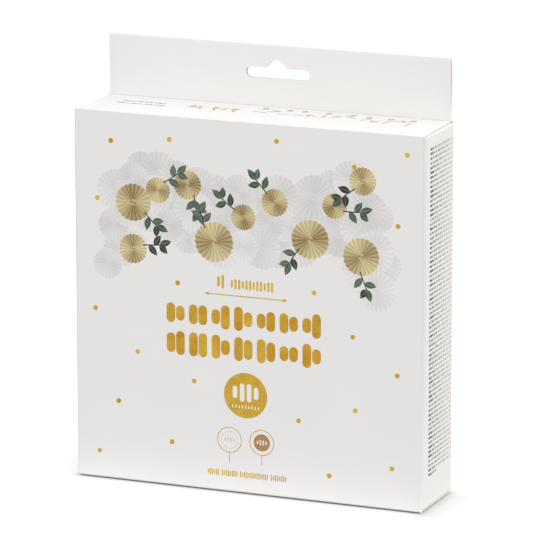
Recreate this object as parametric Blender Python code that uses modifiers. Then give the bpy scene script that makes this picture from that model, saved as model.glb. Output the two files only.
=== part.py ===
"""Hang-tab carton: a folded board box with a double hang tab and a tucked lid at each end.

Metres, +Z up. X is the width, the front panel faces -Y, and the hang tab rises from the back panel.
The origin is at the middle of the footprint, on the surface that the carton stands on.
"""

import math

import bmesh
import bpy
from mathutils import Vector

# Board
BOARD = 0.0005
CREASE = 0.0003
GAP = 0.0003

# Box
WIDTH = 0.182
DEPTH = 0.041
HEIGHT = 0.185

# Hang tab
TAB_HEIGHT = 0.031
TAB_INSET = 0.00135
TAB_BULGE = 0.0008
TAB_BULGE_RISE = 1.94
SLOT_WIDTH = 0.032
SLOT_ARM = 0.0053
SLOT_BUMP = 0.0046
SLOT_FOOT = 0.0153

# Lids
TUCK_LENGTH = 0.014
TUCK_LEAN = math.radians(12)
TUCK_PLAY = 0.0005
TUCK_SHOULDER = 0.0018
TUCK_TAPER = 0.0018
TUCK_CORNER = 0.008
LID_HINGE_PLAY = 0.0004

# Dust flaps
FLAP_LENGTH = 0.034
FLAP_SHOULDER = 0.003
FLAP_TUCK_SIDE = 0.0052
FLAP_PLAIN_SIDE = 0.0016
FLAP_TAPER = 0.004
FLAP_CORNER = 0.005

# Glued seam
SEAM_WIDTH = 0.014
SEAM_FOOT = 0.020
SEAM_HEAD = 0.006
SEAM_BITE = 0.0001

BEND_STEPS = 5
CORNER_STEPS = 6
TAB_STEPS = 16

# A crease bends round this line in the middle of the board, and its outer face lies this far out.
BEND = CREASE + BOARD / 2
BEND_OUTSIDE = CREASE + BOARD

# The dust flaps lie just inside the lids.
FLAP_FACE = BOARD + GAP
FLAP_AXIS = FLAP_FACE + BEND_OUTSIDE
TAB_WIDTH = WIDTH - 2 * TAB_INSET

# The top lid turns on a line just in front of the tab's foot, the bottom lid inside the front crease.
TAB_FOOT_Y = DEPTH / 2 - 2 * BOARD - GAP
TOP_AXIS = (TAB_FOOT_Y - CREASE, HEIGHT + CREASE)
BOTTOM_AXIS = (BOARD / 2 - DEPTH / 2, BOARD / 2)

WHITE = (0.86, 0.855, 0.845, 1)
CREAM = (0.84, 0.82, 0.77, 1)


def clear_scene():
    for leftover in list(bpy.data.objects):
        bpy.data.objects.remove(leftover, do_unlink=True)


def new_collection(name):
    collection = bpy.data.collections.new(name)
    bpy.context.scene.collection.children.link(collection)
    return collection


def board_material(name, colour, roughness):
    material = bpy.data.materials.new(name)
    material.use_nodes = True
    shader = material.node_tree.nodes["Principled BSDF"]
    shader.inputs["Base Color"].default_value = colour
    shader.inputs["Roughness"].default_value = roughness
    shader.inputs["Metallic"].default_value = 0
    material.diffuse_color = colour
    return material


def add_mesh(bm, name, collection):
    bmesh.ops.recalc_face_normals(bm, faces=bm.faces)
    mesh = bpy.data.meshes.new(name)
    bm.to_mesh(mesh)
    bm.free()
    obj = bpy.data.objects.new(name, mesh)
    collection.objects.link(obj)
    return obj


def board_strip(name, line, run, collection, closed=False):
    """Board of one thickness along a line of points, as wide as the vector run, centred on the line."""
    half = Vector(run) / 2
    bm = bmesh.new()
    verts = [bm.verts.new(Vector(p) - half) for p in line]
    pairs = list(zip(verts, verts[1:]))
    if closed:
        pairs.append((verts[-1], verts[0]))
    edges = [bm.edges.new(pair) for pair in pairs]
    grown = bmesh.ops.extrude_edge_only(bm, edges=edges)["geom"]
    bmesh.ops.translate(bm, vec=Vector(run), verts=[v for v in grown if isinstance(v, bmesh.types.BMVert)])
    obj = add_mesh(bm, name, collection)
    wall = obj.modifiers.new("board thickness", "SOLIDIFY")
    wall.thickness = BOARD
    wall.offset = 0
    wall.use_even_offset = True
    return obj


def prism(name, outline, run, collection):
    """A flat outline of points carried along the vector run, centred on the outline's plane."""
    half = Vector(run) / 2
    bm = bmesh.new()
    face = bm.faces.new([bm.verts.new(Vector(p) - half) for p in outline])
    grown = bmesh.ops.extrude_face_region(bm, geom=[face])["geom"]
    bmesh.ops.translate(bm, vec=Vector(run), verts=[v for v in grown if isinstance(v, bmesh.types.BMVert)])
    return add_mesh(bm, name, collection)


def arc(centre, radius, start, end, steps):
    """Points round a circle in a plane, from one angle to another."""
    turns = [start + (end - start) * i / steps for i in range(steps + 1)]
    return [(centre[0] + radius * math.cos(a), centre[1] + radius * math.sin(a)) for a in turns]


def rounded(corners):
    """An outline in a plane with each corner (a, b, radius) rounded by an arc, or sharp at radius 0."""
    points = []
    for i, (a, b, radius) in enumerate(corners):
        here = Vector((a, b))
        if not radius:
            points.append(tuple(here))
            continue
        before = (Vector(corners[i - 1][:2]) - here).normalized()
        after = (Vector(corners[(i + 1) % len(corners)][:2]) - here).normalized()
        half_angle = before.angle(after) / 2
        middle = here + (before + after).normalized() * radius / math.sin(half_angle)
        reach = radius / math.tan(half_angle)
        first = here + before * reach - middle
        last = here + after * reach - middle
        start = math.atan2(first.y, first.x)
        turn = math.remainder(math.atan2(last.y, last.x) - start, math.tau)
        points += arc(middle, radius, start, start + turn, CORNER_STEPS)
    return points


def cut(obj, cutter, operation="DIFFERENCE"):
    cutter.hide_render = True
    cutter.display_type = "WIRE"
    boolean = obj.modifiers.new(cutter.name, "BOOLEAN")
    boolean.operation = operation
    boolean.object = cutter


def place(obj, location, parent, cutters=()):
    """Puts a piece on its crease, with the cutters that shape it."""
    obj.location = location
    obj.parent = parent
    for cutter in cutters:
        cutter.location = location
        cutter.parent = parent


def tube(parts):
    """Front, back and side panels in one ring of board."""
    across = WIDTH / 2 - BOARD / 2
    deep = DEPTH / 2 - BOARD / 2
    corners = [(-across, -deep, BEND), (across, -deep, BEND), (across, deep, BEND), (-across, deep, BEND)]
    line = [(x, y, HEIGHT / 2) for x, y in rounded(corners)]
    return board_strip("carton_body", line, (0, 0, HEIGHT), parts, closed=True)


def tab_line():
    """The tab's side view: up the back panel, over the fold, down the bowed front layer and into the lid's crease."""
    back = DEPTH / 2 - BOARD / 2
    fold_height = HEIGHT + TAB_HEIGHT - BEND_OUTSIDE
    line = [(back, HEIGHT - SLOT_FOOT)]
    line += arc((back - BEND, fold_height), BEND, 0, math.pi, 2 * BEND_STEPS)
    crease_height = HEIGHT + CREASE
    for i in range(1, TAB_STEPS):
        share = 1 - i / TAB_STEPS
        straight = BOARD + GAP + (2 * BEND - BOARD - GAP) * share
        bow = TAB_BULGE * math.sin(math.pi * share**TAB_BULGE_RISE)
        line.append((back - straight - bow, crease_height + (fold_height - crease_height) * share))
    line += arc(TOP_AXIS, BEND, 0, -math.pi / 2, BEND_STEPS)
    return line


def slot_outline():
    """Outline of the hanging slot: a long bar with round ends and a round bump in the middle of its top."""
    end = SLOT_ARM / 2
    rise = math.asin((SLOT_ARM - SLOT_BUMP) / SLOT_BUMP)
    outline = arc((SLOT_WIDTH / 2 - end, end), end, -math.pi / 2, math.pi / 2, 2 * CORNER_STEPS)
    outline += arc((0, SLOT_BUMP), SLOT_BUMP, rise, math.pi - rise, 2 * CORNER_STEPS)
    outline += arc((end - SLOT_WIDTH / 2, end), end, math.pi / 2, 3 * math.pi / 2, 2 * CORNER_STEPS)
    return [(x, DEPTH / 2, HEIGHT + SLOT_FOOT + z) for x, z in outline]


def side_cutter(name, side, low, high, cutters):
    """Takes a side panel away between its two corner creases, where a dust flap's crease is."""
    deep = DEPTH / 2 - BEND_OUTSIDE - GAP
    outline = [(side * WIDTH / 2, y, z) for y, z in ((-deep, low), (deep, low), (deep, high), (-deep, high))]
    return prism(name, outline, (4 * BOARD, 0, 0), cutters)


def carton_body(parts, cutters):
    body = tube(parts)

    tab = board_strip("tab_layers", [(0, y, z) for y, z in tab_line()], (TAB_WIDTH, 0, 0), cutters)
    cut(body, tab, "UNION")

    inner_back = DEPTH / 2 - BOARD
    seam_edge = BOARD / 2 - WIDTH / 2
    middle = inner_back - BOARD / 2 + SEAM_BITE / 2
    slant = SEAM_WIDTH / 3
    outline = [
        (seam_edge, middle, SEAM_FOOT),
        (seam_edge + SEAM_WIDTH, middle, SEAM_FOOT + slant),
        (seam_edge + SEAM_WIDTH, middle, HEIGHT - SEAM_HEAD - slant),
        (seam_edge, middle, HEIGHT - SEAM_HEAD),
    ]
    seam = prism("glue_seam", outline, (0, BOARD + SEAM_BITE, 0), cutters)
    cut(body, seam, "UNION")

    cut(body, prism("hanging_slot", slot_outline(), (0, DEPTH / 2, 0), cutters))

    for side, word in ((-1, "left"), (1, "right")):
        foot = side_cutter(f"{word}_foot_cut", side, -GAP, FLAP_AXIS + GAP, cutters)
        head = side_cutter(f"{word}_head_cut", side, HEIGHT - FLAP_AXIS - GAP, HEIGHT + GAP, cutters)
        cut(body, foot)
        cut(body, head)
    return body


def lid_shape(face, tip):
    """Front view of a lid and its tuck flap, from the lid's outer face to the flap's tapered, rounded tip."""
    away = 1 if face > tip else -1
    shoulder = face - away * BEND_OUTSIDE
    half = TAB_WIDTH / 2
    neck = half - TUCK_SHOULDER
    end = neck - TUCK_TAPER
    return rounded(
        [
            (-half, face + away * BOARD, 0),
            (-half, shoulder, 0),
            (-neck, shoulder, 0),
            (-end, tip, TUCK_CORNER),
            (end, tip, TUCK_CORNER),
            (neck, shoulder, 0),
            (half, shoulder, 0),
            (half, face + away * BOARD, 0),
        ]
    )


def lid(name, start, reach, face, toward, parts, cutters):
    """A lid and tuck flap seen from its hinge line: the board runs out along Y by reach, then folds inward.

    start is the board's first point along Y, face is the height of its outer face, and toward is the way
    inward, -1 for down or 1 for up. reach carries the sign of the way that the lid runs.
    """
    way = math.copysign(1, reach)
    middle = face + toward * BOARD / 2
    turn_middle = (reach - way * BEND_OUTSIDE, face + toward * BEND_OUTSIDE)
    bend_end = math.pi / 2 + TUCK_LEAN
    line = [(way * start, middle)]
    for i in range(BEND_STEPS + 1):
        angle = bend_end * i / BEND_STEPS
        out = BEND * math.sin(angle)
        inward = BEND * math.cos(angle)
        line.append((turn_middle[0] + way * out, turn_middle[1] - toward * inward))
    tip = (
        line[-1][0] - way * TUCK_LENGTH * math.sin(TUCK_LEAN),
        line[-1][1] + toward * TUCK_LENGTH * math.cos(TUCK_LEAN),
    )
    line.append(tip)
    obj = board_strip(name, [(0, y, z) for y, z in line], (TAB_WIDTH, 0, 0), parts)
    outline = [(x, reach / 2, z) for x, z in lid_shape(face, tip[1])]
    shape = prism(f"{name}_outline", outline, (0, 2 * abs(reach), 0), cutters)
    cut(obj, shape, "INTERSECT")
    return obj, shape


def top_lid(body, parts, cutters):
    reach = -(TOP_AXIS[0] + DEPTH / 2 - BOARD - TUCK_PLAY)
    obj, shape = lid("top_lid", GAP, reach, -CREASE, -1, parts, cutters)
    place(obj, (0, *TOP_AXIS), body, [shape])
    return obj


def bottom_lid(body, parts, cutters):
    reach = DEPTH / 2 - BOARD - TUCK_PLAY - BOTTOM_AXIS[0]
    start = BOARD / 2 + LID_HINGE_PLAY
    obj, shape = lid("bottom_lid", start, reach, -BOARD / 2, 1, parts, cutters)
    place(obj, (0, *BOTTOM_AXIS), body, [shape])
    return obj


def dust_flap(name, side, end, body, parts, cutters):
    """A dust flap folded in from a side panel under a lid; end is 1 at the top and -1 at the bottom."""
    line = []
    for i in range(BEND_STEPS + 1):
        angle = math.pi / 2 * i / BEND_STEPS
        line.append((side * BEND * math.cos(angle), 0, end * BEND * math.sin(angle)))
    line.append((side * (BEND_OUTSIDE - FLAP_LENGTH), 0, end * BEND))
    obj = board_strip(name, line, (0, DEPTH, 0), parts)

    root = DEPTH / 2 - BEND_OUTSIDE - 2 * GAP
    tuck_edge = DEPTH / 2 - FLAP_TUCK_SIDE
    plain_edge = DEPTH / 2 - FLAP_PLAIN_SIDE
    outer = 2 * BEND_OUTSIDE
    neck = BEND_OUTSIDE - FLAP_SHOULDER
    tip = BEND_OUTSIDE - FLAP_LENGTH
    corners = [
        (outer, -root, 0),
        (neck + BOARD, -root, 0),
        (neck - FLAP_SHOULDER, -tuck_edge, 0),
        (tip, FLAP_TAPER - tuck_edge, FLAP_CORNER),
        (tip, plain_edge - FLAP_TAPER / 2, FLAP_CORNER),
        (neck, plain_edge, 0),
        (neck + BOARD, root, 0),
        (outer, root, 0),
    ]
    outline = [(side * x, end * y, 0) for x, y in rounded(corners)]
    shape = prism(f"{name}_outline", outline, (0, 0, 8 * BEND_OUTSIDE), cutters)
    cut(obj, shape, "INTERSECT")

    height = HEIGHT - FLAP_AXIS if end > 0 else FLAP_AXIS
    place(obj, (side * (WIDTH / 2 - BEND_OUTSIDE), 0, height), body, [shape])
    return obj


def build():
    clear_scene()
    parts = new_collection("hang_tab_carton")
    cutters = new_collection("cutters")

    body = carton_body(parts, cutters)
    body.data.materials.append(board_material("body_board", WHITE, 0.45))

    for make_lid in (top_lid, bottom_lid):
        obj = make_lid(body, parts, cutters)
        obj.data.materials.append(board_material(f"{obj.name}_board", WHITE, 0.45))

    for end, end_word in ((1, "top"), (-1, "bottom")):
        for side, side_word in ((-1, "left"), (1, "right")):
            obj = dust_flap(f"{end_word}_dust_flap_{side_word}", side, end, body, parts, cutters)
            obj.data.materials.append(board_material(f"{obj.name}_board", CREAM, 0.6))


build()
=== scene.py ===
import math
import random

import bmesh
import bpy
from mathutils import Matrix, Vector
from mathutils.geometry import delaunay_2d_cdt


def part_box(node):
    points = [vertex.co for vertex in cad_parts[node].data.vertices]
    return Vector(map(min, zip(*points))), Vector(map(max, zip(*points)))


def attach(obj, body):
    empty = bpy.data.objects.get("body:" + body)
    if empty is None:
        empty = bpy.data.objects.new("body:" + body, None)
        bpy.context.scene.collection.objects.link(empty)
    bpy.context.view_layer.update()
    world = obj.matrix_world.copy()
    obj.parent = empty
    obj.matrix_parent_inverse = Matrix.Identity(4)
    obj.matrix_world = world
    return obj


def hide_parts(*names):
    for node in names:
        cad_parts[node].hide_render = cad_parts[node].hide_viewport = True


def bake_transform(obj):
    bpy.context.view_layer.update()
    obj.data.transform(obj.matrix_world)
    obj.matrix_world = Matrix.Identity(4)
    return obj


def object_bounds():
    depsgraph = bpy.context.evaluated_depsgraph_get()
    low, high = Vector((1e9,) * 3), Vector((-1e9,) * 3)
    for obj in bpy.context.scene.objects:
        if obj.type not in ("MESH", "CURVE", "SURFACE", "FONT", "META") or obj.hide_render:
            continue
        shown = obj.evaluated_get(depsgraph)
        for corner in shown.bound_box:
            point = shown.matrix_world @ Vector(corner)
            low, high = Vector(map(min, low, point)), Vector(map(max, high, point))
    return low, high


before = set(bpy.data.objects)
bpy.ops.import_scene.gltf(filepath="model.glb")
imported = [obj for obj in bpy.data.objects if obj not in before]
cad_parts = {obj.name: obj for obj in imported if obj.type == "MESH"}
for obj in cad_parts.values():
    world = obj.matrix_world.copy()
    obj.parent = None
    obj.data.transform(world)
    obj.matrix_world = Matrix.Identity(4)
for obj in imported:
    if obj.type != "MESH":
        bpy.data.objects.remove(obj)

cad_low, cad_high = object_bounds()

# Camera
# A long lens stands 2.25 m off, 22 degrees to the carton's right and 13 degrees above it. It looks past the
# middle of the carton by a few millimetres, as the photograph is framed.
LENS_IN_PIXELS = 4613.7
PICTURE_PIXELS = 540
SENSOR = 36
VIEW_TURN = math.radians(22.38)
VIEW_RISE = math.radians(13.44)
VIEW_ROLL = math.radians(-0.06)
VIEW_DISTANCE = 2.2509
AIM = Vector((0, 0, 0.1))
AIM_RIGHT = 0.0034
AIM_UP = 0.0075

level = Vector((math.cos(VIEW_TURN), math.sin(VIEW_TURN), 0))
level_out = Vector((math.sin(VIEW_TURN), -math.cos(VIEW_TURN), 0))
toward = level_out * math.cos(VIEW_RISE) + Vector((0, 0, math.sin(VIEW_RISE)))
upright = toward.cross(level)
camera_data = bpy.data.cameras.new("camera")
camera_data.sensor_width = SENSOR
camera_data.lens = LENS_IN_PIXELS / PICTURE_PIXELS * SENSOR
camera = bpy.data.objects.new("camera", camera_data)
bpy.context.scene.collection.objects.link(camera)
right = level * math.cos(VIEW_ROLL) + upright * math.sin(VIEW_ROLL)
up = upright * math.cos(VIEW_ROLL) - level * math.sin(VIEW_ROLL)
stand = AIM + toward * VIEW_DISTANCE + level * AIM_RIGHT + upright * AIM_UP
turned = Matrix((right, up, toward)).transposed().to_4x4()
camera.matrix_world = Matrix.Translation(stand) @ turned
bpy.context.scene.camera = camera

# Carton body
# Front, back and two side panels in one ring of half-millimetre folding board, creased at the corners. The
# back panel runs on upwards as the tab's back layer, folds over at the top and comes down again in front.
BOARD = 0.0005
CREASE = 0.0003
BEND = CREASE + BOARD
BEND_STEPS = 6
FRONT_BOW = 0.0002
BACK_BOW = 0.001
BOW_RISE = 1.94
TAB_STEPS = 16
LAYER_PLAY = 0.0003
NARROWEST_PANEL = 0.005
SHARP = math.radians(35)
SAME_PLACE = 0.00002
# Painted shade beside the front upright creases: how far it reaches onto the side panels, and the height
# where it is full.
CREASE_SHADE_BAND = 0.006
CREASE_SHADE_FROM = 0.08
WAVE = 0.045
WAVE_DEPTH = 0.0006

ACROSS = cad_high.x
DEEP = cad_high.y
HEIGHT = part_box("top_lid")[1].z
TAB_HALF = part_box("top_lid")[1].x
TAB_TOP = cad_high.z
SIDE_HEAD = HEIGHT - BOARD - LAYER_PLAY - BEND
SIDE_FOOT = BOARD + LAYER_PLAY + BEND
FOLD_HEIGHT = TAB_TOP - BEND
FOOT_HEIGHT = HEIGHT + CREASE


def lay_plane(name, centre, size, turn=(0, 0, 0)):
    """A flat rectangle at its place."""
    bpy.ops.object.select_all(action="DESELECT")
    bpy.ops.mesh.primitive_plane_add(size=1, location=centre, rotation=turn)
    plane = bpy.context.object
    plane.name = name
    plane.scale = (*size, 1)
    bpy.ops.object.transform_apply(location=True, rotation=True, scale=True)
    return plane


def start_sheet(name, centre, size, turn=(0, 0, 0)):
    """A flat sheet of board at its size and place, in edit mode."""
    sheet = lay_plane(name, centre, size, turn)
    bpy.ops.object.mode_set(mode="EDIT")
    return sheet


def pick(kind, test):
    """Selects the verts, edges or faces whose middle passes the test, and lets go of the rest."""
    bpy.ops.mesh.select_mode(type=kind)
    bpy.ops.mesh.select_all(action="DESELECT")
    mesh = bmesh.from_edit_mesh(bpy.context.edit_object.data)
    if kind == "VERT":
        for vert in mesh.verts:
            vert.select_set(test(vert.co))
    if kind == "EDGE":
        for edge in mesh.edges:
            edge.select_set(test((edge.verts[0].co + edge.verts[1].co) / 2))
    if kind == "FACE":
        for face in mesh.faces:
            face.select_set(test(face.calc_center_bounds()))
    bmesh.update_edit_mesh(bpy.context.edit_object.data)


def near(value, target):
    return abs(value - target) < SAME_PLACE


def cut(test, plane_at, across):
    """Cuts the faces that pass the test along a plane."""
    pick("FACE", test)
    bpy.ops.mesh.bisect(plane_co=plane_at, plane_no=across)


def slide(offset):
    """Extrudes the picked edge of the sheet by an offset."""
    bpy.ops.mesh.extrude_region_move(TRANSFORM_OT_translate={"value": offset})


def fold(angle, centre, axis=(1, 0, 0), steps=BEND_STEPS):
    """Bends the picked edge round a crease; the spin operator counts its angle the other way round."""
    bpy.ops.mesh.spin(steps=steps, angle=-angle, center=centre, axis=axis)


def give_thickness(sheet, outer):
    """Board grows inwards from its outer face. Slot 0 is that face, 1 the plain inner one, 2 the raw edge."""
    bpy.ops.object.mode_set(mode="OBJECT")
    for finish in (outer, plain_board, raw_edge):
        sheet.data.materials.append(finish)
    wall = sheet.modifiers.new("board", "SOLIDIFY")
    wall.thickness = BOARD
    wall.offset = -1
    wall.use_even_offset = True
    wall.material_offset = 1
    wall.material_offset_rim = 2
    bpy.ops.object.modifier_apply(modifier=wall.name)
    smooth_creases(sheet)


def smooth_creases(sheet):
    """Bends and bows are shaded smooth, while flat panels and cut edges keep crisp borders."""
    mesh = bmesh.new()
    mesh.from_mesh(sheet.data)
    flat = set()
    for face in mesh.faces:
        face.smooth = True
        spans = sorted(max(v.co[k] for v in face.verts) - min(v.co[k] for v in face.verts) for k in range(3))
        if math.hypot(spans[0], spans[1]) > NARROWEST_PANEL:
            flat.add(face)
    for edge in mesh.edges:
        borders = any(face in flat for face in edge.link_faces)
        edge.smooth = not borders and edge.calc_face_angle(math.pi) < SHARP
    mesh.to_mesh(sheet.data)
    mesh.free()


class Wire:
    """One socket in a material. Sums on it add Math nodes, and node() adds any other kind."""

    def __init__(self, tree, socket=None):
        self.tree = tree
        self.socket = socket

    def node(self, kind, settings, inputs, output=0):
        node = self.tree.nodes.new(kind)
        for name, value in settings.items():
            if name == "stops":
                for stop, (place, colour) in zip(node.color_ramp.elements, value):
                    stop.position = place
                    stop.color = colour
            else:
                setattr(node, name, value)
        for name, value in inputs.items():
            if isinstance(value, Wire):
                self.tree.links.new(value.socket, node.inputs[name])
            else:
                node.inputs[name].default_value = value
        return Wire(self.tree, node.outputs[output])

    def math(self, operation, *values):
        return self.node("ShaderNodeMath", {"operation": operation}, dict(enumerate((self, *values))))

    def __add__(self, other):
        return self.math("ADD", other)

    __radd__ = __add__

    def __mul__(self, other):
        return self.math("MULTIPLY", other)

    __rmul__ = __mul__

    def __sub__(self, other):
        return self.math("SUBTRACT", other)

    def __rsub__(self, other):
        return self.math("MULTIPLY", -1) + other

    def between(self, low, high):
        """Goes from 0 to 1 as this value goes from low to high, and stays there."""
        return ((self - low) * (1 / (high - low))).math("MAXIMUM", 0).math("MINIMUM", 1)

    def mix(self, low, high):
        """Goes from one colour to another as this value goes from 0 to 1."""
        return self.node("ShaderNodeMix", {"data_type": "RGBA"}, {0: self, 6: low, 7: high}, 2)

    def place(self):
        """Where a point lies on the carton, in metres."""
        return self.node("ShaderNodeTexCoord", {}, {}, 3)

    def noise(self, size, detail=2):
        """A soft random pattern whose lumps are about this many metres across."""
        inputs = {"Vector": self, "Scale": 1 / size, "Detail": detail}
        return self.node("ShaderNodeTexNoise", {"noise_dimensions": "3D"}, inputs)

    def own_place(self):
        """The two directions of a mark's own frame: 0 at its middle, 1 at its rim."""
        return self.node("ShaderNodeTexCoord", {}, {}, 2).parts()[:2]

    def parts(self):
        """The three numbers of this vector."""
        return [self.node("ShaderNodeSeparateXYZ", {}, {0: self}, output) for output in range(3)]

    def tone(self):
        """How light a mark was printed, 0 to 1; on gold foil it sets how much painted glint the mark gets."""
        return self.node("ShaderNodeAttribute", {"attribute_name": "tone"}, {}, 2)

    def bump(self, depth, strength=1.0, under=None):
        """Relief whose full height is a depth in metres."""
        inputs = {"Height": self, "Distance": depth, "Strength": strength}
        if under:
            inputs["Normal"] = under
        return self.node("ShaderNodeBump", {}, inputs)


PRINT_GLOSS = {"Specular IOR Level": 0.45}


def new_finish(name, constants, paint):
    """A material whose plain values are set on the shader, and whose varying ones come from paint()."""
    finish = bpy.data.materials.new(name)
    finish.use_nodes = True
    tree = finish.node_tree
    shader = tree.nodes["Principled BSDF"]
    for socket, value in constants.items():
        shader.inputs[socket].default_value = value
    for socket, wire in paint(Wire(tree)).items():
        tree.links.new(wire.socket, shader.inputs[socket])
    return finish


def waviness(wire):
    """The board is never quite flat, which shows in its gloss."""
    return wire.place().noise(WAVE, 1).bump(WAVE_DEPTH, 0.5)


def paint_coating(wire):
    """Clay-coated white board: faintly cloudy, with fibres that just show through. The front upright creases
    and a soft band beside them on the side panels are painted darker as shade, less so at the foot."""
    place = wire.place()
    x, y, z = place.parts()
    cloud = place.noise(0.03, 3)
    fibre = place.noise(0.0004, 3)
    white = cloud.mix((0.84, 0.83, 0.824, 1), (0.864, 0.854, 0.848, 1))
    on_side = x.math("ABSOLUTE").between(ACROSS - BEND, ACROSS - BEND / 2)
    beside = (y * -1).between(DEEP - CREASE_SHADE_BAND, DEEP)
    # Painted shade: the side panels darken in a band beside the front upright creases, more on the bends,
    # fading out towards the foot.
    crease_shade = on_side * z.between(0, CREASE_SHADE_FROM)
    white = (crease_shade * beside).mix(white, (0.74, 0.73, 0.72, 1))
    on_bend = beside.between(1 - BEND / CREASE_SHADE_BAND, 1 - BEND / CREASE_SHADE_BAND / 2)
    colour = (crease_shade * on_bend).mix(white, (0.715, 0.72, 0.715, 1))
    roughness = cloud * 0.08 + 0.42
    normal = fibre.bump(0.000006, 0.5, waviness(wire))
    return {"Base Color": colour, "Roughness": roughness, "Normal": normal}


def paint_plain(wire):
    """The uncoated back of the board: cream, with longer fibres in a felt."""
    felt = wire.place().noise(0.0011, 5)
    colour = felt.mix((0.86, 0.835, 0.785, 1), (0.92, 0.9, 0.86, 1))
    return {"Base Color": colour, "Roughness": felt * 0.1 + 0.8, "Normal": felt.bump(0.00002, 0.6)}


def paint_raw_edge(wire):
    """The cut edge of the board: cream pulp."""
    pulp = wire.place().noise(0.0003, 4)
    colour = pulp.mix((0.85, 0.83, 0.73, 1), (0.93, 0.91, 0.82, 1))
    return {"Base Color": colour, "Roughness": pulp * 0.1 + 0.82, "Normal": pulp.bump(0.00003, 0.7)}


coated_board = new_finish("coated_board", PRINT_GLOSS, paint_coating)
plain_board = new_finish("plain_board", {"Specular IOR Level": 0.3}, paint_plain)
raw_edge = new_finish("raw_edge", {"Specular IOR Level": 0.25}, paint_raw_edge)

body = start_sheet("carton_board", (0, 0, 0), (2 * ACROSS, 2 * DEEP))
bpy.ops.mesh.select_mode(type="VERT")
bpy.ops.mesh.select_all(action="SELECT")
bpy.ops.mesh.bevel(offset=BEND, segments=BEND_STEPS, affect="VERTICES")
bpy.ops.mesh.select_all(action="SELECT")
bpy.ops.mesh.delete(type="ONLY_FACE")
bpy.ops.mesh.select_all(action="SELECT")
slide((0, 0, HEIGHT))

# The side panels stop short at both ends, where their dust flaps are creased.
for cut_height, outer in ((SIDE_HEAD, 1), (SIDE_FOOT, -1)):
    cut(lambda at: near(abs(at.x), ACROSS), (0, 0, cut_height), (0, 0, 1))
    pick("FACE", lambda at: near(abs(at.x), ACROSS) and (at.z - cut_height) * outer > 0)
    bpy.ops.mesh.delete(type="FACE")

# The front panel stops where the bottom lid's crease begins.
cut(lambda at: near(at.y, -DEEP), (0, 0, BEND), (0, 0, 1))
pick("FACE", lambda at: near(at.y, -DEEP) and at.z < BEND)
bpy.ops.mesh.delete(type="FACE")

# The tab is a little narrower than the panel that it grows from.
for side in (-1, 1):
    cut(lambda at: near(at.y, DEEP), (side * TAB_HALF, 0, 0), (1, 0, 0))
pick("EDGE", lambda at: near(at.y, DEEP) and near(at.z, HEIGHT) and near(at.x, 0))


def tab_bow(share):
    """The tab's layers stand apart in a soft bow, fullest at two thirds of their height."""
    return math.sin(math.pi * share**BOW_RISE)


def tab_back(share):
    """A place on the back layer's outer face, from the lid's height, 0, to the fold, 1."""
    return Vector((0, DEEP + BACK_BOW * tab_bow(share), HEIGHT + (FOLD_HEIGHT - HEIGHT) * share))


def tab_face(share):
    """The same on the front layer, which starts close to the back one and is a fold's width off on top."""
    straight = BOARD + LAYER_PLAY + (2 * BEND - 2 * BOARD - LAYER_PLAY) * share
    bow = FRONT_BOW * tab_bow(share)
    return Vector((0, DEEP - BOARD - straight - bow, FOOT_HEIGHT + (FOLD_HEIGHT - FOOT_HEIGHT) * share))


for step in range(TAB_STEPS):
    slide(tab_back((step + 1) / TAB_STEPS) - tab_back(step / TAB_STEPS))
fold(math.pi, (0, DEEP - BEND, FOLD_HEIGHT), steps=2 * BEND_STEPS)
for step in range(TAB_STEPS):
    slide(tab_face(1 - (step + 1) / TAB_STEPS) - tab_face(1 - step / TAB_STEPS))
bpy.ops.mesh.select_all(action="SELECT")
bpy.ops.mesh.normals_make_consistent(inside=False)
give_thickness(body, coated_board)
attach(body, "carton")
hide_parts("carton_body")

# Hanging slot
# One punch goes through both layers of the tab: a long bar with round ends, and in the middle of its top a
# round-headed bump with slanted sides that finds the peg. The cut shows the raw board.
SLOT_WIDTH = 0.0333
SLOT_ARM = 0.0051
SLOT_FOOT = 0.0141
BUMP_ROUND = 0.0044
BUMP_TOP = 0.0091
BUMP_FOOT = 0.005
BUMP_SIDE = -0.0006
PUNCH_ROUND = 48

slot_foot = HEIGHT + SLOT_FOOT
arm_reach = (SLOT_WIDTH - SLOT_ARM) / 2
bump_middle = BUMP_TOP - BUMP_ROUND
shoulder_reach = BUMP_ROUND * math.sin(math.pi / 4)
slant_head = bump_middle + shoulder_reach
slant_half = shoulder_reach + slant_head - BUMP_FOOT
punch_parts = []
for x, z, radius in (
    (-arm_reach, SLOT_ARM / 2, SLOT_ARM / 2),
    (arm_reach, SLOT_ARM / 2, SLOT_ARM / 2),
    (BUMP_SIDE, bump_middle, BUMP_ROUND),
):
    bpy.ops.object.select_all(action="DESELECT")
    bpy.ops.mesh.primitive_cylinder_add(
        vertices=PUNCH_ROUND,
        radius=radius,
        depth=DEEP,
        location=(x, DEEP, slot_foot + z),
        rotation=(math.pi / 2, 0, 0),
    )
    punch_parts.append(bpy.context.object)
for middle, half, low, high in (
    (0, arm_reach, 0, SLOT_ARM),
    (BUMP_SIDE, slant_half, BUMP_FOOT, slant_head),
):
    bpy.ops.object.select_all(action="DESELECT")
    bpy.ops.mesh.primitive_cube_add(size=1, location=(middle, DEEP, slot_foot + (low + high) / 2))
    block = bpy.context.object
    block.scale = (2 * half, DEEP, high - low)
    bpy.ops.object.transform_apply(location=True, rotation=True, scale=True)
    punch_parts.append(block)

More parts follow.
